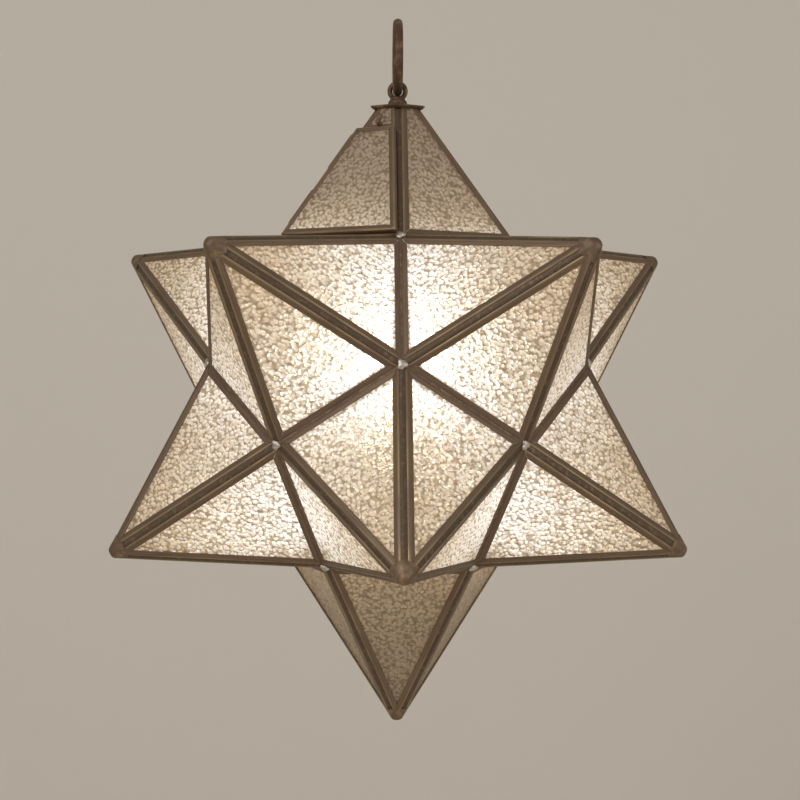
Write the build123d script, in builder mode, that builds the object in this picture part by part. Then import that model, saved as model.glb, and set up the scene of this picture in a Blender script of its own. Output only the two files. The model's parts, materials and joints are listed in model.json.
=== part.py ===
from build123d import *

import os
from math import acos, atan2, cos, degrees, hypot, radians, sin, sqrt, tan

os.makedirs("parts", exist_ok=True)

# A twelve-pointed glass star that hangs from a ring: panes in folded brass channel, a hinged
# door on the top point, and a lamp inside. Millimetres and degrees, +Z up, the front towards -Y.
# The origin is where a hook bears, inside the top of the ring.

# ---- the star's form: a five-sided point on each face of a dodecahedron
corner_reach = 110.0        # star's centre to each inner corner, on the outer faces
tip_reach = 183.5           # star's centre to where the faces of a closed point would meet
top_reach = 179.0           # and those of the top point, which ends under the cap
point_rise = 26.565         # elevation of the axes of the ten points round the middle
tip_solder_length = 12.0    # how much of each tip is solder
tip_solder_nose = 4.3       # what the blunt nose lacks of the sharp tip

# ---- the channel and the glass
channel_depth = 3.6         # across the edge of the glass
channel_flange = 3.6        # along the glass
channel_sheet = 0.5
channel_bevel = 0.5         # at the outside of the folds
pane_play = 0.1             # between glass and channel
seam_gap = 0.14             # between neighbouring frames
mitre_gap = 0.1             # between the ends of two strips at a corner

# ---- the cap plate and the eye that stands on it
cap_apothem = 11.38         # from the axis to each face of the top point, where the cap cuts it
cap_radius = 15.6           # to the plate's corners
cap_thickness = 2.0
cap_bevel = 1.1
eye_height = 8.6            # cap plate's top to the middle of the eye
eye_hole_radius = 2.95
eye_wire_radius = 1.35
eye_foot_radius = 7.3
eye_foot_edge = 0.5
eye_neck_radius = 5.1
shank_radius = 4.0
shank_bore_radius = 2.2
lead_hole_radius = 1.2      # the way in for the lamp's wires, at the back of the eye's foot
lead_hole_height = 1.6      # above the cap plate
shank_end = 1.0             # shank below the foot of the lamp holder's hub
thread_play = 0.05

# ---- the hanging ring
ring_wire_radius = 2.6
ring_radius = 18.5          # to the middle of the wire

# ---- the stem's fittings
collar_radius = 5.6
collar_length = 4.5
nut_across_corners = 13.8
nut_height = 4.2

# ---- the lamp: a round bulb with a medium screw base, and its holder
lamp_level = 20.3           # star's centre to the middle of the globe
globe_radius = 22.5
globe_wall = 0.9
bulb_neck_radius = 12.4
bulb_length = 78.0
screw_radius = 13.0
screw_wall = 0.45
screw_length = 21.0
bulb_insulator_length = 1.9
bulb_insulator_radius = 9.0
bulb_contact_radius = 4.6
bulb_contact_thickness = 0.7
bulb_seat = 6.0             # how far the glass neck reaches into the screw base
mount_radius = 2.6          # the glass mount that carries the filament
mount_length = 15.0
filament_wire = 0.4
filament_spread = 6.0
filament_drop = 17.0
filament_bend = 1.5
shell_play = 0.35           # bulb's screw to the holder's screw shell
shell_wall = 0.5
shell_length = 25.0
core_thickness = 5.0
core_play = 0.1
sleeve_play = 1.45          # round the screw shell
sleeve_wall = 2.2
sleeve_length = 36.0
sleeve_bead = 1.0
holder_cap_wall = 0.8
holder_cap_height = 9.0
holder_cap_rim = 1.0
holder_cap_shoulder = 3.5   # its cone's height, and how far in the cone goes
hub_radius = 6.4
hub_length = 6.0
contact_width = 5.0
contact_sheet = 0.5
contact_reach = 6.0
contact_drop = 1.7
contact_play = 0.2

# ---- the door on the top point's front left face
door_azimuth = -36.0        # of the face, from the front, towards the right
door_lift = 0.4             # between the face and the door laid over it
door_hinge_edge = 1.7       # door's outside to the ridge, on the hinge side
door_free_edge = 1.0        # and on the other side
door_foot = 0.6             # door's lower edge to the face's lower edge
door_top = 69.1             # face's lower edge to the door's top
transom_lap = 1.2           # how far the door laps the bar above the doorway
transom_flange = 5.0
jamb_flange = 2.4           # narrower strips round the doorway
door_flange = 3.0           # the door's strips
hinge_rise = 1.35           # hinge axis above the face, over the ridge
knuckle_radius = 1.0
pin_radius = 0.5
pin_play = 0.06
pin_head_radius = 0.85
pin_head = 0.6
knuckle_length = 7.0
knuckle_gap = 0.3
hinge_places = (10.0, 48.0)  # along the ridge, from its lower end
keel_gap = 0.08             # between the fixed knuckles' solder and the channels
latch_offset = 2.4          # from the middle of the face, towards the front ridge
latch_post_radius = 1.4
latch_pin_radius = 0.8
latch_sheet = 0.8
latch_width = 2.8
latch_reach = 5.6           # from the pin to the far end, its other end round the pin
latch_play = 0.45

# ---- worked out from these: the star
edge = 4 * corner_reach / (sqrt(3) * (1 + sqrt(5)))
base_radius = edge / (2 * sin(radians(36)))
base_apothem = edge / (2 * tan(radians(36)))
base_level = sqrt(corner_reach**2 - base_radius**2)
valley_inset = seam_gap / 2
up = Vector(0, 0, 1)


def outward(azimuth):
    """The level direction at an azimuth from the front, towards the right."""
    return Vector(sin(radians(azimuth)), -cos(radians(azimuth)), 0)


class Point:
    """The form of a five-sided point whose faces would meet at a reach from the star's centre."""

    def __init__(self, reach):
        self.reach = reach
        self.height = reach - base_level
        self.slant = hypot(base_apothem, self.height)
        self.tilt = atan2(self.height, base_apothem)
        self.half_apex = atan2(edge / 2, self.slant)
        turn = acos(sin(self.tilt) ** 2 * cos(radians(72)) + cos(self.tilt) ** 2)
        self.half_ridge = (radians(180) - turn) / 2
        self.ridge_inset = channel_depth / tan(self.half_ridge) + seam_gap / 2
        self.axis_in_pane = Vector(0, sin(self.tilt), cos(self.tilt))

    def pane_plane(self, azimuth):
        """A face of the point standing on +Z: X along its foot, Y up it, Z out of it."""
        away = outward(azimuth)
        normal = away * sin(self.tilt) + up * cos(self.tilt)
        climb = up * sin(self.tilt) - away * cos(self.tilt)
        foot = away * base_apothem + up * base_level
        return Plane(foot, x_dir=climb.cross(normal), z_dir=normal)

    def half_width(self, height, inset):
        """Half the width of a face at a height on it, less an inset from both ridges."""
        return edge / 2 - inset / cos(self.half_apex) - height * tan(self.half_apex)

    def apex_height(self, inset):
        return self.half_width(0, inset) / tan(self.half_apex)

    def cut_across(self, below_tip):
        """The plane square to the point's axis, at a distance below its sharp tip, in a pane."""
        origin = Vector(0, self.slant, 0) - self.axis_in_pane * below_tip
        return Plane(origin, z_dir=self.axis_in_pane)

    def outline(self, foot):
        """A face inside its ridge insets, from a height on it up to its apex."""
        across = self.half_width(foot, self.ridge_inset)
        return [(-across, foot), (across, foot), (0, self.apex_height(self.ridge_inset))]


closed = Point(tip_reach)
top = Point(top_reach)

# ---- worked out from these: the levels below the origin
cap_level = top_reach - cap_apothem * top.height / base_apothem
ring_level = ring_wire_radius - ring_radius
eye_level = ring_level - ring_radius
cap_top = eye_level - eye_height
cap_underside = cap_top - cap_thickness
star_level = cap_underside - cap_level
lamp_centre = star_level + lamp_level
bulb_foot = lamp_centre - globe_radius
bulb_top = bulb_foot + bulb_length
screw_top = bulb_top - bulb_contact_thickness - bulb_insulator_length
screw_foot = screw_top - screw_length
core_foot = bulb_top + contact_play + contact_drop
core_top = core_foot + core_thickness
shell_inner = screw_radius + shell_play
sleeve_inner = shell_inner + shell_wall + sleeve_play
sleeve_radius = sleeve_inner + sleeve_wall
hub_foot = core_top + holder_cap_height
hub_top = hub_foot + hub_length
shank_foot = hub_foot - shank_end

star_centre = Vector(0, 0, star_level)


def point_plane(azimuth, side):
    """Where a point stands round the middle, above it with side 1 and below it with side -1."""
    rise = radians(point_rise)
    axis = outward(azimuth) * cos(rise) + up * (side * sin(rise))
    corner = outward(azimuth) * sin(rise) - up * (side * cos(rise))
    return Plane(star_centre, x_dir=axis.cross(corner), z_dir=axis)


def strip(start, end, start_normal, end_normal, flange):
    """A straight strip of folded channel, its ends cut by planes that face into it."""
    along = (end - start).normalized()
    with BuildPart() as piece:
        with BuildSketch(Plane(start, x_dir=up.cross(along), z_dir=along)):
            with Locations((flange / 2, -channel_depth / 2)):
                Rectangle(flange, channel_depth)
            chamfer(vertices().group_by(Axis.X)[0], channel_bevel)
            with Locations((flange / 2 + channel_sheet, -channel_depth / 2)):
                Rectangle(flange, channel_depth - 2 * channel_sheet, mode=Mode.SUBTRACT)
        extrude(amount=(end - start).length)
        split(bisect_by=Plane(start + start_normal * mitre_gap / 2, z_dir=start_normal))
        split(bisect_by=Plane(end + end_normal * mitre_gap / 2, z_dir=end_normal))
    return piece.part


def side_strip(outline, index, flange):
    """The strip along one side of an outline, mitred at both ends."""
    before, start, end, after = (
        Vector(*outline[(index + step) % len(outline)]) for step in (-1, 0, 1, 2)
    )
    along = (end - start).normalized()
    start_normal = (along - (before - start).normalized()).normalized()
    end_normal = ((after - end).normalized() + along).normalized() * -1
    return strip(start, end, start_normal, end_normal, flange)


def frame(outline, flange=channel_flange, cut=None):
    """The strips all round an outline, cut off above a plane if one is given."""
    with BuildPart() as strips:
        for index in range(len(outline)):
            add(side_strip(outline, index, flange))
        if cut:
            split(bisect_by=cut, keep=Keep.BOTTOM)
    return strips.part


def pane(outline, cut=None):
    """The glass that a frame round the outline holds."""
    with BuildPart() as plate:
        with BuildSketch(Plane.XY.offset(-channel_sheet - pane_play)):
            with BuildLine():
                Polyline(*outline, close=True)
            make_face()
            offset(amount=-channel_sheet - pane_play, kind=Kind.INTERSECTION, mode=Mode.REPLACE)
        extrude(amount=2 * (channel_sheet + pane_play) - channel_depth)
        if cut:
            split(bisect_by=cut, keep=Keep.BOTTOM)
    return plate.part


def repeated(part, planes):
    """Copies of a part, each placed by its plane, as separate solids."""
    with BuildPart() as copies:
        with Locations(*planes):
            add(part)
    return copies.part


def write(part, name):
    part.label = name
    export_step(part, f"parts/{name}.step")


# ---- the eleven closed points
tip_cut = closed.cut_across(tip_solder_length)
point_planes = {
    "upper_front_left": point_plane(-36, 1),
    "upper_front_right": point_plane(36, 1),
    "upper_left": point_plane(-108, 1),
    "upper_right": point_plane(108, 1),
    "upper_back": point_plane(180, 1),
    "lower_front": point_plane(0, -1),
    "lower_left": point_plane(-72, -1),
    "lower_right": point_plane(72, -1),
    "lower_back_left": point_plane(-144, -1),
    "lower_back_right": point_plane(144, -1),
    "bottom": Plane(star_centre, x_dir=(1, 0, 0), z_dir=(0, 0, -1)),
}
top_plane = Plane(star_centre)
pane_planes = [closed.pane_plane(36 + 72 * turn) for turn in range(5)]

face_outline = closed.outline(valley_inset)
point_frames = repeated(frame(face_outline, cut=tip_cut), pane_planes)
point_panes = repeated(pane(face_outline, cut=tip_cut), pane_planes)
for place, plane in point_planes.items():
    write(repeated(point_frames, [plane]), f"frames_{place}")
    write(repeated(point_panes, [plane]), f"panes_{place}")

# The blunt solder at the tips runs on from the ridges of the strips.
solder_foot = tip_reach - tip_solder_length
with BuildPart() as tip_solder:
    with BuildSketch(Plane.XY.offset(solder_foot)):
        RegularPolygon(
            tip_solder_length * base_radius / closed.height, 5, rotation=-90, align=None
        )
    extrude(amount=tip_solder_length - tip_solder_nose / 2, taper=90 - degrees(closed.tilt))
    with Locations((0, 0, solder_foot)):
        Sphere(tip_solder_length - tip_solder_nose, mode=Mode.INTERSECT)
write(repeated(tip_solder.part, point_planes.values()), "tip_solder")

# ---- the top point: four fixed faces, and the fifth with the doorway
cap_cut = top.cut_across(top_reach - cap_level)
fixed_planes = [top_plane * top.pane_plane(azimuth).location for azimuth in (36, 108, 180, 252)]
door_plane = top_plane * top.pane_plane(door_azimuth).location
top_outline = top.outline(valley_inset)
write(repeated(frame(top_outline, cut=cap_cut), fixed_planes), "frames_top")
write(repeated(pane(top_outline, cut=cap_cut), fixed_planes), "panes_top")

# The doorway has narrower strips, and a bar across it holds the short pane above the door.
transom_foot = door_top - transom_lap
bar_inset = top.ridge_inset + jamb_flange
bar_start = Vector(-top.half_width(transom_foot, bar_inset), transom_foot)
bar_end = Vector(top.half_width(transom_foot, bar_inset), transom_foot)
into_left = Vector(cos(top.half_apex), -sin(top.half_apex))
into_right = Vector(-cos(top.half_apex), -sin(top.half_apex))
with BuildPart() as doorway_frame:
    add(frame(top_outline, jamb_flange, cap_cut))
    add(strip(bar_start, bar_end, into_left, into_right, transom_flange))
write(repeated(doorway_frame.part, [door_plane]), "frame_doorway")

write(repeated(pane(top.outline(transom_foot), cap_cut), [door_plane]), "pane_transom")

# ---- the door, laid over the outside of its face
door_outside = door_lift + channel_depth
door_outline = [
    (-top.half_width(door_foot, door_hinge_edge), door_foot),
    (top.half_width(door_foot, door_free_edge), door_foot),
    (top.half_width(door_top, door_free_edge), door_top),
    (-top.half_width(door_top, door_hinge_edge), door_top),
]
raised_plane = door_plane * Location((0, 0, door_outside))
write(repeated(frame(door_outline, door_flange), [raised_plane]), "door_frame")
write(repeated(pane(door_outline), [raised_plane]), "door_pane")

# ---- the door's hinges, along the left ridge
ridge_direction = Vector(sin(top.half_apex), cos(top.half_apex))
ridge_start = Vector(-edge / 2, 0)
hinge_length = 3 * knuckle_length + 2 * knuckle_gap


def hinge_section(distance):
    """Square to the ridge: X into the face, Y out of it, Z down the ridge."""
    return Plane(ridge_start + ridge_direction * distance, x_dir=into_left, z_dir=-ridge_direction)


# The solder that seats a fixed knuckle in the groove between two frames.
keel_flank = top.ridge_inset - keel_gap
keel_root = Vector(keel_flank, -keel_flank * tan(top.half_ridge))
keel_near_top = Vector(keel_flank, -knuckle_radius / 2)
keel_far_side = Vector(-sin(2 * top.half_ridge), -cos(2 * top.half_ridge))
keel_outline = [
    keel_root,
    keel_near_top,
    (knuckle_radius / 2, hinge_rise / 2),
    (-knuckle_radius / 2, hinge_rise / 2),
    keel_root + keel_far_side * (keel_near_top - keel_root).length,
]
with BuildPart() as fixed_knuckles:
    for place in hinge_places:
        for foot in (place, place + 2 * (knuckle_length + knuckle_gap)):
            with BuildSketch(hinge_section(foot + knuckle_length)):
                with BuildLine():
                    Polyline(*keel_outline, close=True)
                make_face()
                with Locations((0, hinge_rise)):
                    Circle(knuckle_radius)
                    Circle(pin_radius + pin_play, mode=Mode.SUBTRACT)
            extrude(amount=knuckle_length)
write(repeated(fixed_knuckles.part, [door_plane]), "hinge_knuckles_fixed")

with BuildPart() as door_knuckles:
    for place in hinge_places:
        with BuildSketch(hinge_section(place + 2 * knuckle_length + knuckle_gap)):
            with Locations((door_hinge_edge / 2, hinge_rise)):
                Rectangle(door_hinge_edge, 1.5 * knuckle_radius)
            with Locations((0, hinge_rise)):
                Circle(knuckle_radius)
                Circle(pin_radius + pin_play, mode=Mode.SUBTRACT)
        extrude(amount=knuckle_length)
write(repeated(door_knuckles.part, [door_plane]), "hinge_knuckles_door")

with BuildPart() as hinge_pins:
    for place in hinge_places:
        with BuildSketch(hinge_section(place + hinge_length + pin_play)):
            with Locations((0, hinge_rise)):
                Circle(pin_radius)
        extrude(amount=hinge_length + 2 * pin_play)
        for end in (place - pin_play, place + hinge_length + pin_play + pin_head):
            with BuildSketch(hinge_section(end)):
                with Locations((0, hinge_rise)):
                    Circle(pin_head_radius)
            extrude(amount=pin_head)
write(repeated(hinge_pins.part, [door_plane]), "hinge_pins")

# ---- the turn button above the door, stored upright as in use while the door is worked
latch_height = door_top + latch_play + latch_post_radius
latch_foot = door_outside + latch_play
latch_top = latch_foot + latch_sheet + 2 * pin_play
with BuildPart() as latch_post:
    with Locations((latch_offset, latch_height)):
        Cylinder(latch_post_radius, latch_foot, align=(Align.CENTER, Align.CENTER, Align.MIN))
        Cylinder(latch_pin_radius, latch_top, align=(Align.CENTER, Align.CENTER, Align.MIN))
    with Locations((latch_offset, latch_height, latch_top)):
        Cylinder(latch_post_radius, pin_head, align=(Align.CENTER, Align.CENTER, Align.MIN))
write(repeated(latch_post.part, [door_plane]), "latch_post")

with BuildPart() as latch_button:
    with BuildSketch(Plane.XY.offset(latch_foot + pin_play)):
        with Locations((latch_offset, latch_height + latch_reach / 2 - latch_width / 4)):
            SlotOverall(latch_reach + latch_width / 2, latch_width, rotation=90)
        with Locations((latch_offset, latch_height)):
            Circle(latch_pin_radius + pin_play, mode=Mode.SUBTRACT)
    extrude(amount=latch_sheet)
write(repeated(latch_button.part, [door_plane]), "latch_button")

# ---- the cap plate, its corners over the ridges
with BuildPart() as cap_plate:
    with BuildSketch(Plane.XY.offset(cap_underside)):
        RegularPolygon(cap_radius, 5, rotation=-90, align=None)
    extrude(amount=cap_thickness)
    chamfer(edges().group_by(Axis.Z)[0], cap_bevel)
    with Locations((0, 0, cap_top)):
        Hole(shank_radius + thread_play)
write(cap_plate.part, "cap_plate")

# ---- the eye: a ring on a flared foot, with a hollow threaded shank below the plate
eye_radius = eye_hole_radius + eye_wire_radius
neck_top = eye_level - eye_hole_radius - 0.1 * eye_wire_radius
lead_level = cap_top + lead_hole_height
lead_top = lead_level + lead_hole_radius
with BuildPart() as hanging_eye:
    with BuildSketch(Plane.XZ):
        with BuildLine():
            Polyline(
                (0, neck_top),
                (0, shank_foot),
                (shank_radius, shank_foot),
                (shank_radius, cap_top),
                (eye_foot_radius, cap_top),
                (eye_foot_radius, cap_top + eye_foot_edge),
            )
            Spline(
                (eye_foot_radius, cap_top + eye_foot_edge),
                (eye_neck_radius, lead_top),
                tangents=((-1, 0.3), (0, 1)),
            )
            Polyline((eye_neck_radius, lead_top), (eye_wire_radius, neck_top), (0, neck_top))
        make_face()
    revolve(axis=Axis.Z)
    with Locations((0, 0, eye_level)):
        Torus(eye_radius, eye_wire_radius, rotation=(90, 0, 0))
    with BuildSketch(Plane.XY.offset(lead_top)):
        Circle(shank_bore_radius)
    extrude(amount=shank_foot - lead_top, mode=Mode.SUBTRACT)
    with BuildSketch(Plane.XZ):
        with Locations((0, lead_level)):
            Circle(lead_hole_radius)
    extrude(amount=-2 * eye_foot_radius, mode=Mode.SUBTRACT)
write(hanging_eye.part, "hanging_eye")

# ---- the ring in the eye
with BuildPart() as hanging_ring:
    with Locations((0, 0, ring_level)):
        Torus(ring_radius, ring_wire_radius, rotation=(0, 90, 0))
write(hanging_ring.part, "hanging_ring")


def turned(points, name):
    """A round piece from its half outline, as radius and level."""
    with BuildPart() as piece:
        with BuildSketch(Plane.XZ):
            with BuildLine():
                Polyline(*points, close=True)
            make_face()
        revolve(axis=Axis.Z)
    write(piece.part, name)


def tube(outer, inner, foot, top, name):
    turned([(inner, foot), (outer, foot), (outer, top), (inner, top)], name)


# ---- what holds the eye's shank in the cap and the lamp holder on the shank
threaded = shank_radius + thread_play
collar_foot = cap_underside - collar_length
tube(collar_radius, threaded, collar_foot, cap_underside, "stem_collar")
with BuildPart() as stem_nuts:
    for foot in (collar_foot - nut_height, hub_top):
        with BuildSketch(Plane.XY.offset(foot)):
            RegularPolygon(nut_across_corners / 2, 6)
            Circle(threaded, mode=Mode.SUBTRACT)
        extrude(amount=nut_height)
write(stem_nuts.part, "stem_nuts")

# ---- the lamp holder
rim_top = core_top + holder_cap_rim
cap_inner = sleeve_radius - holder_cap_wall
cone_foot = hub_foot - holder_cap_shoulder
cone_outer = hub_radius + holder_cap_shoulder
cap_points = [
    (cap_inner, core_top),
    (sleeve_radius, core_top),
    (sleeve_radius, rim_top),
    (cone_outer + holder_cap_wall, cone_foot),
    (hub_radius, hub_foot),
    (hub_radius, hub_top),
    (threaded, hub_top),
    (threaded, hub_foot - holder_cap_wall),
    (hub_radius - holder_cap_wall, hub_foot - holder_cap_wall),
    (cone_outer - holder_cap_wall, cone_foot - holder_cap_wall),
    (cap_inner, rim_top),
]
turned(cap_points, "lampholder_cap")

sleeve_foot = core_top - sleeve_length
bead_top = sleeve_foot + 2 * sleeve_bead
sleeve_outline = [
    (sleeve_inner, sleeve_foot),
    (sleeve_radius + sleeve_bead, sleeve_foot),
    (sleeve_radius + sleeve_bead, bead_top),
    (sleeve_radius, bead_top + sleeve_bead),
    (sleeve_radius, core_top),
    (sleeve_inner, core_top),
]
turned(sleeve_outline, "lampholder_sleeve")
tube(sleeve_inner - core_play, 0, core_foot, core_top, "lampholder_core")
tube(shell_inner + shell_wall, shell_inner, core_foot - shell_length, core_foot, "lampholder_shell")

with BuildPart() as lampholder_contact:
    with BuildSketch(Plane.XZ):
        with BuildLine():
            Polyline(
                (contact_reach, core_foot),
                (contact_reach, core_foot - contact_sheet),
                (contact_reach / 2, core_foot - contact_sheet),
                (0, core_foot - contact_drop),
                (-contact_reach / 2, core_foot - contact_drop),
                (-contact_reach / 2, core_foot - contact_drop + contact_sheet),
                (0, core_foot - contact_drop + contact_sheet),
                (contact_reach / 2, core_foot),
                close=True,
            )
        make_face()
    extrude(amount=contact_width / 2, both=True)
write(lampholder_contact.part, "lampholder_contact")

# ---- the bulb
tube(bulb_contact_radius, 0, bulb_top - bulb_contact_thickness, bulb_top, "bulb_contact")
insulator_outline = [
    (0, screw_top - screw_wall),
    (bulb_insulator_radius, screw_top - screw_wall),
    (bulb_insulator_radius, screw_top),
    (bulb_contact_radius, bulb_top - bulb_contact_thickness),
    (0, bulb_top - bulb_contact_thickness),
]
turned(insulator_outline, "bulb_insulator")
screw_inner = screw_radius - screw_wall
shoulder = screw_top - 2 * screw_wall
screw_outline = [
    (screw_inner, screw_foot),
    (screw_radius, screw_foot),
    (screw_radius, shoulder),
    (screw_radius - screw_wall, screw_top),
    (bulb_insulator_radius, screw_top),
    (bulb_insulator_radius, screw_top - screw_wall),
    (screw_inner, screw_top - screw_wall - screw_wall),
]
turned(screw_outline, "bulb_screw")


def globe_face(shrink):
    """Half the outline of the globe and its neck, drawn in by a wall."""
    radius = globe_radius - shrink
    neck = bulb_neck_radius - shrink
    meeting = lamp_centre + sqrt(radius**2 - neck**2)
    with BuildLine() as half:
        Line((0, neck_end - shrink), (0, lamp_centre - radius))
        ThreePointArc((0, lamp_centre - radius), (radius, lamp_centre), (neck, meeting))
        Polyline((neck, meeting), (neck, neck_end - shrink), (0, neck_end - shrink))
    make_face(half.edges())


neck_end = screw_foot + bulb_seat
with BuildPart() as bulb_globe:
    with BuildSketch(Plane.XZ):
        globe_face(0)
    revolve(axis=Axis.Z)
    with BuildSketch(Plane.XZ):
        globe_face(globe_wall)
    revolve(axis=Axis.Z, mode=Mode.SUBTRACT)
write(bulb_globe.part, "bulb_globe")

mount_top = neck_end - globe_wall
mount_foot = mount_top - mount_length
tube(mount_radius, 0, mount_foot, mount_top, "bulb_mount")
filament_foot = mount_foot - filament_drop
filament_side = [
    (mount_radius / 2, mount_foot),
    (mount_radius / 2, mount_foot - 2 * filament_bend),
    (filament_spread, mount_foot - filament_drop / 2),
    (filament_spread, filament_foot),
]
filament_other_side = [(-across, level) for across, level in reversed(filament_side)]
with BuildPart() as bulb_filament:
    with BuildLine(Plane.XZ) as filament_path:
        FilletPolyline(*filament_side, *filament_other_side, radius=filament_bend)
    with BuildSketch(Plane(filament_path.line @ 0, z_dir=filament_path.line % 0)):
        RegularPolygon(filament_wire, 6)
    sweep()
write(bulb_filament.part, "bulb_filament")
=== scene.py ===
# %% [markdown]
# A star lantern of pebbled glass and folded brass, hung from a ring and lit from inside.
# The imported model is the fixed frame: every piece here sits in its places, in metres, with
# +Z up and the front of the star towards -Y. The origin is inside the top of the ring.

# %% Load the frame
import json
from math import atan2, cos, degrees, hypot, pi, radians, sin, sqrt, tan

import bmesh
import bpy
from mathutils import Matrix, Vector


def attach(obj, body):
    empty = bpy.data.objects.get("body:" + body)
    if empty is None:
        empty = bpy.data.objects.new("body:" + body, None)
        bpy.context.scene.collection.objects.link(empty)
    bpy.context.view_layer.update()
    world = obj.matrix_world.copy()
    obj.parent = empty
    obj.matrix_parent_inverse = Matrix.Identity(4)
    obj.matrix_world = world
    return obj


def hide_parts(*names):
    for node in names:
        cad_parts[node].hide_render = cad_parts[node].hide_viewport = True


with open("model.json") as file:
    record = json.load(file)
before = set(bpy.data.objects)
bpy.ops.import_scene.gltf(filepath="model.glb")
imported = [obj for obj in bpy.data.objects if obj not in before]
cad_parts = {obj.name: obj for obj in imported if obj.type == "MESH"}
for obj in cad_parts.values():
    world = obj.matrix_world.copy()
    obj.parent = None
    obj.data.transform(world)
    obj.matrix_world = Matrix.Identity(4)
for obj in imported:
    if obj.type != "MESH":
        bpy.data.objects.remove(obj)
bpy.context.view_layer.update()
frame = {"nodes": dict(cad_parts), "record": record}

nodes = frame["nodes"]

# %% [markdown]
# The star has one five-sided point on each face of a dodecahedron. Its few real sizes place
# every pane, corner and tip, so the pieces of this scene are worked out from them. A reach
# is measured from the star's centre, and a level from the origin or along a point's axis.

# %% The star's sizes
corner_reach = 0.110
tip_reach = 0.1835
top_reach = 0.179
cap_level = 0.1597
star_level = -0.2047
lamp_above_centre = 0.0203
point_rise = radians(26.565)
edge = 4 * corner_reach / (sqrt(3) * (1 + sqrt(5)))
base_radius = edge / (2 * sin(radians(36)))
base_apothem = edge / (2 * tan(radians(36)))
base_level = sqrt(corner_reach**2 - base_radius**2)
lamp_centre = Vector((0, 0, star_level + lamp_above_centre))
star_centre = Vector((0, 0, star_level))
print("edge of the dodecahedron", round(edge, 4), "its corners at", corner_reach)


def outward(azimuth):
    """The level direction at an azimuth from the front, in degrees towards the right."""
    return Vector((sin(radians(azimuth)), -cos(radians(azimuth)), 0))


def placed(x_axis, y_axis, z_axis, origin):
    """The matrix that carries a piece drawn at the origin to a place in the star."""
    turn = Matrix((x_axis, y_axis, z_axis)).transposed().to_4x4()
    return Matrix.Translation(origin) @ turn


def point_place(azimuth, side):
    """Where a point stands round the middle, above it with side 1 and below it with -1."""
    axis = outward(azimuth) * cos(point_rise) + Vector((0, 0, side * sin(point_rise)))
    corner = outward(azimuth) * sin(point_rise) - Vector((0, 0, side * cos(point_rise)))
    across = axis.cross(corner)
    return placed(across, axis.cross(across), axis, star_centre)


class Point:
    """The form of a five-sided point that stands on +Z and would end at a reach."""

    def __init__(self, reach):
        self.tip = Vector((0, 0, reach))
        height = reach - base_level
        self.slant = hypot(base_apothem, height)
        self.tilt = atan2(height, base_apothem)
        self.face_places = [self.face_place(36 + 72 * turn) for turn in range(5)]
        self.corners = [
            outward(72 * turn) * base_radius + Vector((0, 0, base_level)) for turn in range(5)
        ]

    def face_place(self, azimuth):
        """A face of the point: X along its foot, Y up it, Z out of it."""
        away = outward(azimuth)
        up = Vector((0, 0, 1))
        normal = away * sin(self.tilt) + up * cos(self.tilt)
        climb = up * sin(self.tilt) - away * cos(self.tilt)
        return placed(climb.cross(normal), climb, normal, away * base_apothem + up * base_level)


closed = Point(tip_reach)
top = Point(top_reach)
point_places = {
    "upper_front_left": point_place(-36, 1),
    "upper_front_right": point_place(36, 1),
    "upper_left": point_place(-108, 1),
    "upper_right": point_place(108, 1),
    "upper_back": point_place(180, 1),
    "lower_front": point_place(0, -1),
    "lower_left": point_place(-72, -1),
    "lower_right": point_place(72, -1),
    "lower_back_left": point_place(-144, -1),
    "lower_back_right": point_place(144, -1),
    "bottom": placed(Vector((1, 0, 0)), Vector((0, -1, 0)), Vector((0, 0, -1)), star_centre),
}
top_place = Matrix.Translation(star_centre)
print("faces lean", round(degrees(closed.tilt), 2), "degrees on the closed points")

# %% [markdown]
# Finishes are written as sums. A small class wraps a shader socket, so that a mask times a
# number reads like arithmetic, and each operator adds the Math node that it needs.

# %% A socket that can be added and multiplied


class Wire:
    """A shader socket on which Python's operators add Math nodes."""

    def __init__(self, finish, socket):
        self.finish = finish
        self.socket = socket

    def _math(self, operation, *values):
        return self.finish.node("ShaderNodeMath", {"operation": operation}, *values)

    def __add__(self, other):
        return self._math("ADD", self, other)

    __radd__ = __add__

    def __sub__(self, other):
        return self._math("SUBTRACT", self, other)

    def __rsub__(self, other):
        return self._math("SUBTRACT", other, self)

    def __mul__(self, other):
        return self._math("MULTIPLY", self, other)

    __rmul__ = __mul__

    def __truediv__(self, other):
        return self._math("DIVIDE", self, other)

    def __rtruediv__(self, other):
        return self._math("DIVIDE", other, self)

    def __pow__(self, other):
        return self._math("POWER", self, other)

    def above(self, low, high):
        """0 below low, 1 above high, and a smooth step between them."""
        settings = {"interpolation_type": "SMOOTHSTEP"}
        return self.finish.node("ShaderNodeMapRange", settings, self, low, high, 0.0, 1.0)


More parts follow.
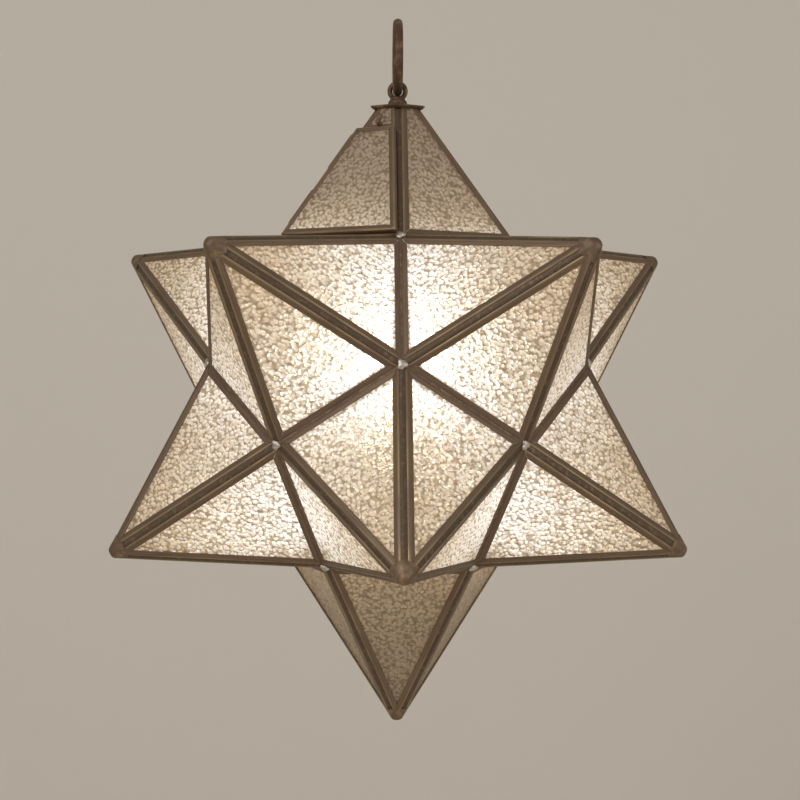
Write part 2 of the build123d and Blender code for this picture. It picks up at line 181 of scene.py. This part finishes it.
class Finish:
    """A material, with one method for any node and one for its surface."""

    def __init__(self, name):
        self.material = bpy.data.materials.new(name)
        self.material.use_nodes = True
        self.tree = self.material.node_tree
        self.shader = self.tree.nodes["Principled BSDF"]
        self.place = self.node("ShaderNodeTexCoord", {}, output="Object")

    def node(self, kind, settings, *values, output=0, **named):
        """Adds a node, feeds its sockets by place or by name, and returns one output."""
        made = self.tree.nodes.new(kind)
        for key, value in settings.items():
            if key == "stops":
                self._stops(made.color_ramp, value)
            else:
                setattr(made, key, value)
        for index, value in enumerate(values):
            self._feed(made.inputs[index], value)
        for key, value in named.items():
            self._feed(made.inputs[key.replace("_", " ")], value)
        return Wire(self, made.outputs[output])

    @staticmethod
    def _stops(ramp, stops):
        """Sets the places and colours of a colour ramp."""
        while len(ramp.elements) < len(stops):
            ramp.elements.new(0.5)
        for element, (position, colour) in zip(ramp.elements, stops):
            element.position = position
            element.color = (*colour, 1)

    def _feed(self, socket, value):
        """Links a Wire to a socket, or sets the socket to a constant."""
        if isinstance(value, Wire):
            self.tree.links.new(value.socket, socket)
        elif value is not None:
            socket.default_value = value

    def noise(self, scale, detail, roughness):
        """Soft noise from 0 to 1; scale is in patches a metre."""
        return self.node(
            "ShaderNodeTexNoise", {}, Vector=self.place, Scale=scale, Detail=detail,
            Roughness=roughness,
        )

    def mix(self, factor, low, high):
        """One colour passing into another."""
        made = self.tree.nodes.new("ShaderNodeMix")
        made.data_type = "RGBA"
        for index, value in ((0, factor), (6, low), (7, high)):
            self._feed(made.inputs[index], (*value, 1) if isinstance(value, tuple) else value)
        return Wire(self, made.outputs[2])

    def bump(self, height, distance):
        """A normal tilted by a height from 0 to 1 that stands for a distance in metres."""
        return self.node("ShaderNodeBump", {}, Height=height, Distance=distance)

    def surface(self, **sockets):
        """Sets or links the shader's sockets by name."""
        for key, value in sockets.items():
            if isinstance(value, tuple) and len(value) == 3:
                value = (*value, 1)
            self._feed(self.shader.inputs[key.replace("_", " ")], value)
        return self.material


print("a finish adds nodes for + - * / and powers of its sockets")

# %% [markdown]
# The channel is brass that was darkened with a patina and rubbed back by hand. It is an even
# dark brown with fine streaks along each strip, and shows a dull gold on the folded edges,
# where hands and cloth reach. The strips carry a UV map in metres, drawn out later: U runs
# along a strip and V across it from its fold, so both the streaks and the worn fold follow
# the metal. The cap, eye and ring have no such map and take their wear from soft noise.

# %% Antique brass
patina_dark = (0.15, 0.097, 0.062)
patina_light = (0.23, 0.157, 0.103)
patina_warm = (0.25, 0.16, 0.08)
rubbed_gold = (0.43, 0.32, 0.17)
strip_map = "strip"
streaks_a_metre = (45.0, 2600.0, 1.0)
strip_drift = 9.0
gold_until, brown_from = 0.0002, 0.0014


def deepened(colour, depth):
    """A colour made darker and redder by a depth below 1, as a thicker patina makes it."""
    return tuple(part * depth ** power for part, power in zip(colour, (1.0, 1.35, 1.6)))


def brass(name, folded, depth=1.0):
    """Darkened brass, worn along the folds of the strips or else in soft patches."""
    finish = Finish(name)
    clouds = finish.noise(45, 3, 0.5)
    grain = finish.noise(1600, 2, 0.6)
    if folded:
        wrap = finish.node("ShaderNodeUVMap", {"uv_map": strip_map})
        across = finish.node("ShaderNodeSeparateXYZ", {}, wrap, output=1)
        stretched = finish.node("ShaderNodeVectorMath", {"operation": "MULTIPLY"}, wrap,
                                streaks_a_metre)
        drifting = finish.node("ShaderNodeVectorMath", {"operation": "SCALE"}, finish.place,
                               Scale=strip_drift)
        spot = finish.node("ShaderNodeVectorMath", {"operation": "ADD"}, stretched, drifting)
        streaks = finish.node("ShaderNodeTexNoise", {}, Vector=spot, Scale=1.0, Detail=3.0)
        from_fold = finish.node("ShaderNodeMath", {"operation": "ABSOLUTE"}, across)
        at_fold = 1 - from_fold.above(gold_until, brown_from)
        rubbed = at_fold * (0.3 + 0.6 * clouds.above(0.38, 0.64))
    else:
        streaks = finish.noise(260, 3, 0.55)
        rubbed = streaks.above(0.52, 0.75) * 0.5
    tone = finish.mix(
        streaks.above(0.3, 0.7), deepened(patina_dark, depth), deepened(patina_light, depth)
    )
    warm = finish.mix(clouds.above(0.4, 0.75) * 0.3, tone, patina_warm)
    colour = finish.mix(rubbed * 0.8, warm, rubbed_gold)
    return finish.surface(
        Base_Color=colour,
        Metallic=0.55 + 0.3 * rubbed,
        Roughness=0.5 - 0.16 * rubbed + 0.12 * grain,
        Normal=finish.bump(streaks * 0.7 + grain * 0.3, 0.00006),
    )


channel_brass = brass("channel_brass", True)
fitting_brass = brass("antique_brass", False)
ring_brass = brass("ring_brass", False, 0.6)
print("made", channel_brass.name, fitting_brass.name, ring_brass.name)

# %% [markdown]
# The solder in the grooves has taken the same patina and is a dull dark brown. The drops at
# the inner corners are left bright, as tin is, and their grain breaks up the shine.

# %% Dark and bright solder
solder = Finish("dark_solder")
solder_grain = solder.noise(420, 4, 0.6)
solder_shine = solder_grain.above(0.5, 0.72)
dark_solder = solder.surface(
    Base_Color=solder.mix(solder_shine, (0.12, 0.08, 0.052), (0.2, 0.138, 0.092)),
    Metallic=0.6,
    Roughness=0.55 - 0.15 * solder_shine,
    Normal=solder.bump(solder_grain, 0.0003),
)
tin = Finish("bright_solder")
tin_grain = tin.noise(700, 3, 0.6)
bright_solder = tin.surface(
    Base_Color=tin.mix(tin_grain.above(0.4, 0.7), (0.5, 0.45, 0.38), (0.85, 0.8, 0.72)),
    Metallic=0.9,
    Roughness=0.25 + 0.2 * tin_grain,
    Normal=tin.bump(tin_grain, 0.0004),
)
print("made", dark_solder.name, "and", bright_solder.name)

# %% [markdown]
# The glass was rolled over a pebbled roller. Each pebble, about two millimetres wide, is a
# small lens, and its light is painted into the emission: a painted highlight on its upper side,
# with painted shade on a rim below. The sheet lets light through rough, so the lamp shows as a
# soft blaze where the glass is in line with it. The glow of every pane, which stands for the
# light that bounces about inside, is painted on as emission. That painted glow falls off with
# the distance from the lamp on the star itself. It is fullest to the side and a little down,
# and weak straight above, in the holder's shade, and straight below, past the end of the bulb.
# The base colour carries painted light too: whiter near the lamp, warmer away from it, and
# darker between the pebbles as painted shade.

# %% Pebbled glass with a painted glow
pebbles_a_metre = 500.0
swirls_a_metre = 330.0
pebble_swirl = 0.0016
# A step up the glass that gives each pebble its painted highlight and painted shade.
shade_step = (0.0002, 0.0, 0.0006)
pebble_height = 0.0008
# Sizes of the painted glow, which stands for the lamp's light on the panes.
full_glow_at = 0.1
plain_beam = 0.74
brightest_fall = 0.67
white_until, warm_from = 0.1, 0.16
glow_stops = (
    (0.0, (0.012, 0.006, 0.002)),
    (0.3, (0.13, 0.078, 0.034)),
    (0.6, (0.35, 0.285, 0.205)),
    (0.8, (0.6, 0.57, 0.535)),
    (1.0, (0.98, 0.97, 0.955)),
)


def pebbled_glass(name):
    """Glass whose pebbles bend the light, with the lamp's glow painted on the panes as
    emission.
    """
    finish = Finish(name)
    swirl = finish.node("ShaderNodeTexNoise", {}, output=1, Vector=finish.place,
                        Scale=swirls_a_metre, Detail=1.0)
    shift = finish.node("ShaderNodeVectorMath", {"operation": "SCALE"}, swirl,
                        Scale=pebble_swirl)
    spot = finish.node("ShaderNodeVectorMath", {"operation": "ADD"}, finish.place, shift)
    stepped = finish.node("ShaderNodeVectorMath", {"operation": "ADD"}, spot, shade_step)
    domes = []
    for at in (spot, stepped):
        pebbles = finish.node("ShaderNodeTexVoronoi", {"feature": "F1"}, Vector=at,
                              Scale=pebbles_a_metre)
        domes.append(1 - pebbles.above(0.34, 0.8))
    dome, next_dome = domes
    fine = finish.noise(1500, 2, 0.5)
    broad = finish.noise(150, 2, 0.5)
    relief = dome * 0.8 + fine * 0.2
    # Painted highlight and shade of the pebbles: lighter on each upper side, darker below.
    lens = (dome - next_dome) * 0.75 + dome * 0.35 + broad * 0.3 + fine * 0.35

    # The painted glow: emission that falls off with distance from the lamp, weaker above and
    # below it.
    away = finish.node("ShaderNodeVectorMath", {"operation": "DISTANCE"}, finish.place,
                       tuple(lamp_centre), output=1)
    aim = finish.node("ShaderNodeVectorMath", {"operation": "SUBTRACT"}, finish.place,
                      tuple(lamp_centre))
    rise = finish.node("ShaderNodeSeparateXYZ", {}, aim, output=2) / away
    off_side = finish.node("ShaderNodeMath", {"operation": "ABSOLUTE"},
                           rise + brightest_fall)
    sideways = (1 - off_side.above(0.05, 0.36)) * 0.35
    holder_shade = rise.above(0.55, 0.98) * 0.5
    bulb_shade = (0.0 - rise).above(0.68, 0.96) * 0.57
    beam = plain_beam + sideways - holder_shade - bulb_shade
    light = (full_glow_at / away) ** 1.3 * beam * (0.32 + lens)
    glow = finish.node("ShaderNodeValToRGB", {"stops": glow_stops}, light)
    # Painted light colour: the base is whiter near the lamp and warmer away from it.
    painted_light_tint = finish.mix(
        away.above(white_until, warm_from), (0.72, 0.7, 0.67), (0.67, 0.595, 0.48)
    )
    # The base is darker between the pebbles, as painted shade, and the emission is the painted
    # glow.
    return finish.surface(
        Base_Color=finish.mix(dome, (0.3, 0.26, 0.2), painted_light_tint),
        Roughness=0.3 + 0.12 * fine,
        IOR=1.35,
        Transmission_Weight=0.7,
        Emission_Color=glow,
        Emission_Strength=0.76,
        Normal=finish.bump(relief, pebble_height),
    )


textured_glass = pebbled_glass("textured_glass")
print("made", textured_glass.name)

# %% [markdown]
# The pieces inside the star are seen only as a glow through the glass, so their finishes are
# plain: one colour with a soft mottle. The bulb and its filament shine.

# %% Plain finishes of the lamp
mottle_a_metre = 900
materials = {"antique_brass": fitting_brass, "dark_solder": dark_solder,
             "textured_glass": textured_glass}


def plain(name, colour, rough, **sockets):
    """A finish of one mottled colour, kept under the name of its material slot."""
    finish = Finish(name)
    mottle = finish.noise(mottle_a_metre, 2, 0.5)
    darker = tuple(0.8 * part for part in colour)
    materials[name] = finish.surface(
        Base_Color=finish.mix(mottle, darker, colour),
        Roughness=rough + 0.08 * mottle,
        **sockets,
    )


plain("bright_metal", (0.72, 0.68, 0.6), 0.22, Metallic=1.0)
plain("white_ceramic", (0.82, 0.8, 0.75), 0.2)
plain("black_glass", (0.02, 0.02, 0.025), 0.12)
plain("holder_plastic", (0.028, 0.026, 0.024), 0.45)
plain("bulb_glass", (1.0, 0.95, 0.85), 0.05, Alpha=0.6,
      Emission_Color=(1.0, 0.97, 0.92), Emission_Strength=24.0)
plain("filament", (1.0, 0.7, 0.35), 0.5,
      Emission_Color=(1.0, 0.8, 0.5), Emission_Strength=12.0)
for row in frame["record"]["subparts"]:
    node = nodes[row["node"]]
    node.data.materials.clear()
    node.data.materials.append(materials[row["material_slot"]])
for node_name in ("hanging_ring", "hanging_eye", "cap_plate"):
    nodes[node_name].data.materials[0] = ring_brass
print("finishes", len(materials))

# %% [markdown]
# Each strip of channel is a folded sheet, so its edges are round and its two flanges are
# soft to the light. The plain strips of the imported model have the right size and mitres. A
# merged copy of them gets its edges rounded with a bevel, and the UV map that the brass
# reads. A valley's strip is hardly rubbed, so its V starts past the gold. The eleven closed
# points are alike, so one is dressed at the origin and copied.

# %% Round the edges of a copy of the strips
fold_round = 0.0002
strip_middle = 0.0018
past_gold = 0.01


def merged_copy(node_name, name):
    """A copy of a node's mesh with its triangles joined again into flat faces."""
    bpy.ops.object.select_all(action="DESELECT")
    piece = bpy.data.objects.new(name, nodes[node_name].data.copy())
    bpy.context.scene.collection.objects.link(piece)
    piece.data.materials.clear()
    bpy.context.view_layer.objects.active = piece
    piece.select_set(True)
    bpy.ops.object.mode_set(mode="EDIT")
    bpy.ops.mesh.select_all(action="SELECT")
    bpy.ops.mesh.remove_doubles(threshold=1e-6)
    bpy.ops.mesh.dissolve_limited(angle_limit=radians(1))
    bpy.ops.object.mode_set(mode="OBJECT")
    return piece


def round_edges(piece):
    """Rounds every edge at which the metal turns by more than 30 degrees."""
    bevel = piece.modifiers.new("round", "BEVEL")
    bevel.width = fold_round
    bevel.segments = 2
    bevel.limit_method = "ANGLE"
    bevel.angle_limit = radians(30)
    bpy.ops.object.modifier_apply(modifier=bevel.name)
    bpy.ops.object.shade_smooth_by_angle(angle=radians(40))


def separate_strips(mesh):
    """The strips of a mesh, each as a set of the numbers of its corners."""
    joined = list(range(len(mesh.vertices)))

    def root(number):
        while joined[number] != number:
            joined[number] = joined[joined[number]]
            number = joined[number]
        return number

    for line in mesh.edges:
        joined[root(line.vertices[0])] = root(line.vertices[1])
    strips = {}
    for number in range(len(joined)):
        strips.setdefault(root(number), set()).add(number)
    return list(strips.values())


def misfit(side, middle):
    """How far the middle of a strip is from where a strip on this side would have it."""
    start, along, inward, normal, length, _ = side
    offset = middle - start
    outside = max(0, -offset.dot(along), offset.dot(along) - length)
    aside = abs(offset.dot(inward) - strip_middle)
    return outside + aside + abs(offset.dot(normal) + strip_middle)


def wrap_along(piece, sides):
    """Gives each strip a UV map in metres: along it, and across it from its fold."""
    mesh = piece.data
    layer = mesh.uv_layers.new(name=strip_map)
    owner = {}
    for strip in separate_strips(mesh):
        middle = sum((mesh.vertices[number].co for number in strip), Vector()) / len(strip)
        best = min(sides, key=lambda side: misfit(side, middle))
        owner.update(dict.fromkeys(strip, best))
    for corner in mesh.loops:
        start, along, inward, normal, length, fold = owner[corner.vertex_index]
        offset = mesh.vertices[corner.vertex_index].co - start
        across = offset.dot(inward) + min(0, offset.dot(normal)) + fold
        layer.data[corner.index].uv = (offset.dot(along), across)


def sides_of(place, outline, plain=()):
    """The sides of a flat outline, each with its start, directions, length and first V."""
    corners = [place @ Vector((x, y, 0)) for x, y in outline]
    normal = place.to_3x3() @ Vector((0, 0, 1))
    sides = []
    for index, start in enumerate(corners):
        end = corners[(index + 1) % len(corners)]
        along = (end - start).normalized()
        fold = past_gold if index in plain else 0.0
        sides.append((start, along, normal.cross(along), normal, (end - start).length, fold))
    return sides


def face_outline(point, ridge_inset):
    """A face of a point, its ridges drawn in to where the folds of the strips are."""
    lean = atan2(edge / 2, point.slant)
    across = edge / 2 - ridge_inset / cos(lean)
    return [(-across, 0), (across, 0), (0, across / tan(lean))]


# %% Dress the closed points
ridge_inset = 0.00232
drawn = merged_copy("frames_bottom", "drawn_channels")
drawn.data.transform(point_places["bottom"].inverted())
round_edges(drawn)
closed_sides = []
for place in closed.face_places:
    closed_sides += sides_of(place, face_outline(closed, ridge_inset), plain=(0,))
wrap_along(drawn, closed_sides)
drawn.data.materials.append(channel_brass)
for point_name, place in point_places.items():
    mesh = drawn.data.copy()
    mesh.transform(place)
    piece = bpy.data.objects.new(f"channels_{point_name}", mesh)
    bpy.context.scene.collection.objects.link(piece)
    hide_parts(f"frames_{point_name}")
    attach(piece, "star")
bpy.data.objects.remove(drawn)
print("triangles in one point's channels", sum(len(f.vertices) - 2 for f in mesh.polygons))

# %% [markdown]
# The top point has four fixed faces, a doorway with narrower strips and a bar, and the door
# itself, whose strips lie on the outside of its face. An inset is how far a strip's fold
# stands in from the ridge, and a height is measured up the face from its foot.

# %% Dress the top point and the door
door_face = top_place @ top.face_place(-36)
fixed_faces = [top_place @ top.face_place(azimuth) for azimuth in (36, 108, 180, 252)]
top_outline = face_outline(top, ridge_inset)
lean = atan2(edge / 2, top.slant)


def half_width(height, inset):
    """Half the width of a top face at a height, as far as an inset from its ridges."""
    return edge / 2 - inset / cos(lean) - height * tan(lean)


door_foot, door_top = 0.0006, 0.0691
hinge_inset, free_inset = 0.0017, 0.001
bar_foot, bar_inset = door_top - 0.0012, 0.0047
door_lift = 0.004
bar_outline = [
    (-half_width(bar_foot, bar_inset), bar_foot),
    (half_width(bar_foot, bar_inset), bar_foot),
    (0, 2 * bar_foot),
]
door_outline = [
    (-half_width(door_foot, hinge_inset), door_foot),
    (half_width(door_foot, free_inset), door_foot),
    (half_width(door_top, free_inset), door_top),
    (-half_width(door_top, hinge_inset), door_top),
]
raised_face = door_face @ Matrix.Translation((0, 0, door_lift))
fixed_sides = []
for face in fixed_faces:
    fixed_sides += sides_of(face, top_outline, plain=(0,))
doorway_sides = sides_of(door_face, top_outline, plain=(0,))
bar_side = sides_of(door_face, bar_outline)[:1]
dressings = {
    "frames_top": ("star", fixed_sides),
    "frame_doorway": ("star", doorway_sides + bar_side),
    "door_frame": ("door", sides_of(raised_face, door_outline)),
}
for node_name, (body, sides) in dressings.items():
    piece = merged_copy(node_name, node_name.replace("frame", "channel"))
    round_edges(piece)
    wrap_along(piece, sides)
    piece.data.materials.append(channel_brass)
    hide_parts(node_name)
    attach(piece, body)
    print(piece.name, "strips", len(separate_strips(piece.data)))

# %% [markdown]
# Solder runs along the bottom of the groove between two frames and along every valley, and
# closes them to the light. One bead is drawn as a thin rod, cut into rings that swell and
# shrink a little as poured solder does, then laid along each seam at its length.

# %% One bead of solder
bead_rings = 14


def drawn_bead(half_breadth, half_depth):
    """A rod one metre long on +Z, its oval rings swelling and shrinking a little."""
    bpy.ops.object.select_all(action="DESELECT")
    bpy.ops.mesh.primitive_cylinder_add(vertices=12, radius=1, depth=1, location=(0, 0, 0.5))
    bead = bpy.context.object
    bpy.ops.object.transform_apply(location=True, rotation=True, scale=True)
    bpy.ops.object.mode_set(mode="EDIT")
    for ring in range(1, bead_rings):
        bpy.ops.mesh.select_all(action="SELECT")
        bpy.ops.mesh.bisect(plane_co=(0, 0, ring / bead_rings), plane_no=(0, 0, 1))
    bpy.ops.mesh.select_all(action="SELECT")
    bpy.ops.transform.resize(value=(half_breadth, half_depth, 1))
    bpy.ops.object.mode_set(mode="OBJECT")
    for point in bead.data.vertices:
        swell = 1 + 0.05 * sin(31 * point.co.z) + 0.03 * sin(77 * point.co.z + 1)
        point.co.x *= swell
        point.co.y *= swell
    bpy.ops.object.shade_smooth_by_angle(angle=radians(50))
    return bead


def laid(drawn, places, name, material):
    """Joins copies of a drawn piece, one at each place, and takes the drawn one away."""
    gathered = bmesh.new()
    for place in places:
        mesh = drawn.data.copy()
        mesh.transform(place)
        gathered.from_mesh(mesh)
        bpy.data.meshes.remove(mesh)
    mesh = bpy.data.meshes.new(name)
    gathered.to_mesh(mesh)
    gathered.free()
    mesh.materials.clear()
    mesh.materials.append(material)
    piece = bpy.data.objects.new(name, mesh)
    bpy.context.scene.collection.objects.link(piece)
    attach(piece, "star")
    bpy.data.objects.remove(drawn)
    print(name, "triangles", sum(len(face.vertices) - 2 for face in mesh.polygons))
    return piece


def along_seam(start, end, inward):
    """The matrix that lays a piece one metre long on +Z from one point to another."""
    along = (end - start).normalized()
    turn = placed(inward.cross(along), inward, along, start)
    return turn @ Matrix.Diagonal((1, 1, (end - start).length, 1))


def ridge_seams(point, place, end_level):
    """The seams at the bottom of a point's five ridge grooves, as far up as a level."""
    seams = []
    for corner in point.corners:
        along = (point.tip - corner).normalized()
        radial = Vector((corner.x, corner.y, 0)).normalized()
        inward = -(radial - along * radial.dot(along)).normalized()
        start = corner + inward * groove_depth
        reach = (end_level - start.z) / along.z
        end = start + along * reach
        seams.append(along_seam(place @ start, place @ end, place.to_3x3() @ inward))
    return seams


# %% [markdown]
# The ridge beads stop short of the cap at the top and inside the noses at the other tips.
# An inner corner belongs to three points and counts once. Two of them an edge apart have a
# valley between them.

# %% Beads along the ridges and valleys
groove_depth = 0.0019
valley_depth = 0.0003
same_place = 0.001
below_cap = 0.001
below_tip = 0.0105
ridge_bead = (0.00165, 0.00055)
valley_bead = (0.0009, 0.0005)
seams = ridge_seams(top, top_place, cap_level - below_cap)
for place in point_places.values():
    seams += ridge_seams(closed, place, tip_reach - below_tip)
laid(drawn_bead(*ridge_bead), seams, "ridge_solder", dark_solder)

places = [top_place, *point_places.values()]
inner_corners = []
for place in places:
    for corner in closed.corners:
        here = place @ corner
        if all((here - there).length > same_place for there in inner_corners):
            inner_corners.append(here)
valleys = []
for index, here in enumerate(inner_corners):
    for there in inner_corners[index + 1:]:
        if abs((here - there).length - edge) < same_place:
            inward = (star_centre - (here + there) / 2).normalized()
            inset = inward * valley_depth
            valleys.append(along_seam(here + inset, there + inset, inward))
laid(drawn_bead(*valley_bead), valleys, "valley_solder", fitting_brass)
print("inner corners", len(inner_corners), "valleys", len(valleys), "ridges", len(seams))

# %% [markdown]
# At each tip the five pairs of strips run into one blunt nose of solder, filed down to the
# same brown. It is a five-sided frustum, a little slimmer than the point. Its ridges are
# bevelled to the strips' folds and its end is rounded over. A cone's first corner is at +Y
# and a point has one at -Y, so the frustum is turned round.

# %% The blunt noses
bpy.ops.object.select_all(action="DESELECT")
nose_length = 0.012
nose_foot = tip_reach - nose_length
nose_end = 0.1789
slimmer = 0.96
widen = slimmer * base_radius / (tip_reach - base_level)
bpy.ops.mesh.primitive_cone_add(
    vertices=5, radius1=(tip_reach - nose_foot) * widen, radius2=(tip_reach - nose_end) * widen,
    depth=nose_end - nose_foot, location=(0, 0, (nose_foot + nose_end) / 2),
)
nose = bpy.context.object
bpy.ops.object.transform_apply(location=True, rotation=True, scale=True)
nose.data.transform(Matrix.Rotation(pi, 4, "Z"))


def select_edges(piece, test):
    """Selects the edges whose two ends pass a test, ready for an operator in edit mode."""
    bpy.ops.object.mode_set(mode="EDIT")
    bpy.ops.mesh.select_mode(type="EDGE")
    bpy.ops.mesh.select_all(action="DESELECT")
    bpy.ops.object.mode_set(mode="OBJECT")
    points = piece.data.vertices
    for line in piece.data.edges:
        line.select = test(points[line.vertices[0]].co, points[line.vertices[1]].co)
    bpy.ops.object.mode_set(mode="EDIT")


ridge_round, end_round = 0.0015, 0.0014
level_step, level_play = 0.001, 0.0001
select_edges(nose, lambda a, b: abs(a.z - b.z) > level_step)
bpy.ops.mesh.bevel(offset=ridge_round, segments=2, affect="EDGES")
bpy.ops.object.mode_set(mode="OBJECT")
select_edges(nose, lambda a, b: min(a.z, b.z) > nose_end - level_play)
bpy.ops.mesh.bevel(offset=end_round, segments=3, affect="EDGES")
bpy.ops.mesh.select_all(action="SELECT")
bpy.ops.mesh.normals_make_consistent(inside=False)
bpy.ops.object.mode_set(mode="OBJECT")
bpy.ops.object.shade_smooth_by_angle(angle=radians(45))
noses = laid(nose, list(point_places.values()), "noses", fitting_brass)
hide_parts("tip_solder")

# %% [markdown]
# Where three points meet, a drop of bright solder holds six frames together. It is a ball
# pressed flat, its rim drawn out unevenly into three low lobes.

# %% Drops at the inner corners
drop_radius, drop_height, drop_sink = 0.0026, 0.0012, 0.0004
bpy.ops.object.select_all(action="DESELECT")
bpy.ops.mesh.primitive_uv_sphere_add(segments=24, ring_count=10, radius=1, location=(0, 0, 0))
drop = bpy.context.object
bpy.ops.object.mode_set(mode="EDIT")
bpy.ops.mesh.select_all(action="SELECT")
bpy.ops.transform.resize(value=(drop_radius, drop_radius, drop_height))
bpy.ops.object.mode_set(mode="OBJECT")
for point in drop.data.vertices:
    turn = atan2(point.co.y, point.co.x)
    lobe = 1 + 0.16 * cos(3 * turn) + 0.06 * cos(5 * turn + 1)
    point.co.x *= lobe
    point.co.y *= lobe
bpy.ops.object.shade_smooth_by_angle(angle=radians(60))
drops = []
for corner in inner_corners:
    away = (corner - star_centre).normalized()
    turn = away.to_track_quat("Z", "Y").to_matrix().to_4x4()
    drops.append(Matrix.Translation(corner - away * drop_sink) @ turn)
laid(drop, drops, "corner_solder", bright_solder)

# %% [markdown]
# The eye stands on a short turned neck that thickens towards the flared foot. The neck is
# a disc extruded upwards ring by ring, each ring drawn in to the profile, whose rows are a
# radius and a level above the cap.

# %% The neck of the eye
cap_top = -0.043
neck_profile = [(0.0051, 0.0028), (0.0044, 0.0034), (0.00405, 0.0042), (0.0039, 0.005),
                (0.0034, 0.0056), (0.0022, 0.0059)]
bpy.ops.object.select_all(action="DESELECT")
bpy.ops.mesh.primitive_circle_add(vertices=32, radius=neck_profile[0][0],
                                  location=(0, 0, cap_top + neck_profile[0][1]))
neck = bpy.context.object
neck.name = "eye_neck"
bpy.ops.object.transform_apply(location=True, rotation=True, scale=True)
bpy.ops.object.mode_set(mode="EDIT")
bpy.ops.mesh.select_all(action="SELECT")
bpy.ops.mesh.edge_face_add()
for (radius, level), (next_radius, next_level) in zip(neck_profile, neck_profile[1:]):
    bpy.ops.mesh.extrude_region_move(
        TRANSFORM_OT_translate={"value": (0, 0, next_level - level)}
    )
    share = next_radius / radius
    bpy.ops.transform.resize(value=(share, share, 1))
bpy.ops.mesh.select_all(action="SELECT")
bpy.ops.mesh.normals_make_consistent(inside=False)
bpy.ops.object.mode_set(mode="OBJECT")
bpy.ops.object.shade_smooth_by_angle(angle=radians(50))
neck.data.materials.append(ring_brass)
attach(neck, "star")
print("neck", [round(side * 1000, 2) for side in neck.dimensions], "mm")

# %% [markdown]
# A plain pale floor and backdrop, soft lamps at a plain level, and one small lamp inside
# the star for the light that the bulb throws on the holder and the channels.

# %% Floor, backdrop and lamps
stage_size, floor_level, wall_behind = 14, -0.9, 1.3
backdrop = Finish("backdrop")
backdrop_material = backdrop.surface(Base_Color=(0.82, 0.765, 0.69), Roughness=0.95)
bpy.ops.object.select_all(action="DESELECT")
bpy.ops.mesh.primitive_plane_add(size=stage_size, location=(0, 0, floor_level))
floor = bpy.context.object
floor.name = "floor"
bpy.ops.mesh.primitive_plane_add(size=stage_size, location=(0, wall_behind, 0),
                                 rotation=(pi / 2, 0, 0))
wall = bpy.context.object
wall.name = "backdrop"
for ground in (floor, wall):
    ground.data.materials.append(backdrop_material)


def lamp(name, kind, energy, size, place, colour=(1, 1, 1)):
    """A lamp in watts and metres that looks at the middle of the star."""
    light = bpy.data.lights.new(name, kind)
    light.energy = energy
    light.color = colour
    if kind == "AREA":
        light.size = size
    else:
        light.shadow_soft_size = size
    holder = bpy.data.objects.new(name, light)
    bpy.context.scene.collection.objects.link(holder)
    holder.location = place
    aim = star_centre - Vector(place)
    holder.rotation_euler = aim.to_track_quat("-Z", "Y").to_euler()


lamp("key", "AREA", 14, 1.2, (-1.1, -1.5, 0.7))
lamp("fill", "AREA", 7, 1.6, (1.4, -1.2, 0.1))
lamp("lift", "AREA", 5, 1.2, (0.2, -0.6, -1.3))
lamp("bulb_light", "POINT", 0.9, 0.02, tuple(lamp_centre), (1.0, 0.97, 0.92))
world = bpy.data.worlds.new("world")
bpy.context.scene.world = world
world.use_nodes = True
world.node_tree.nodes["Background"].inputs["Color"].default_value = (1, 0.97, 0.92, 1)
world.node_tree.nodes["Background"].inputs["Strength"].default_value = 0.35
print("lamps", [light.name for light in bpy.data.lights])

# %% [markdown]
# The camera stands where the star's tips and inner corners fall on those of the photograph.
# It was fitted to sixteen of them: its place, its two directions and its lens.

# %% Camera
camera_data = bpy.data.cameras.new("camera")
camera_data.sensor_width = 36
camera_data.lens = 79.13
camera_place = Vector((-0.0225084, -0.9758937, -0.1754395))
camera = bpy.data.objects.new("camera", camera_data)
bpy.context.scene.collection.objects.link(camera)
right = Vector((0.99969554, -0.02462748, 0.00152216)).normalized()
ahead = Vector((0.02466228, 0.99923789, -0.03025583)).normalized()
camera.matrix_world = placed(right, right.cross(ahead), -ahead, camera_place)
bpy.context.scene.camera = camera
bpy.context.scene.view_settings.view_transform = "Standard"
print("camera", [round(part, 3) for part in camera.location])
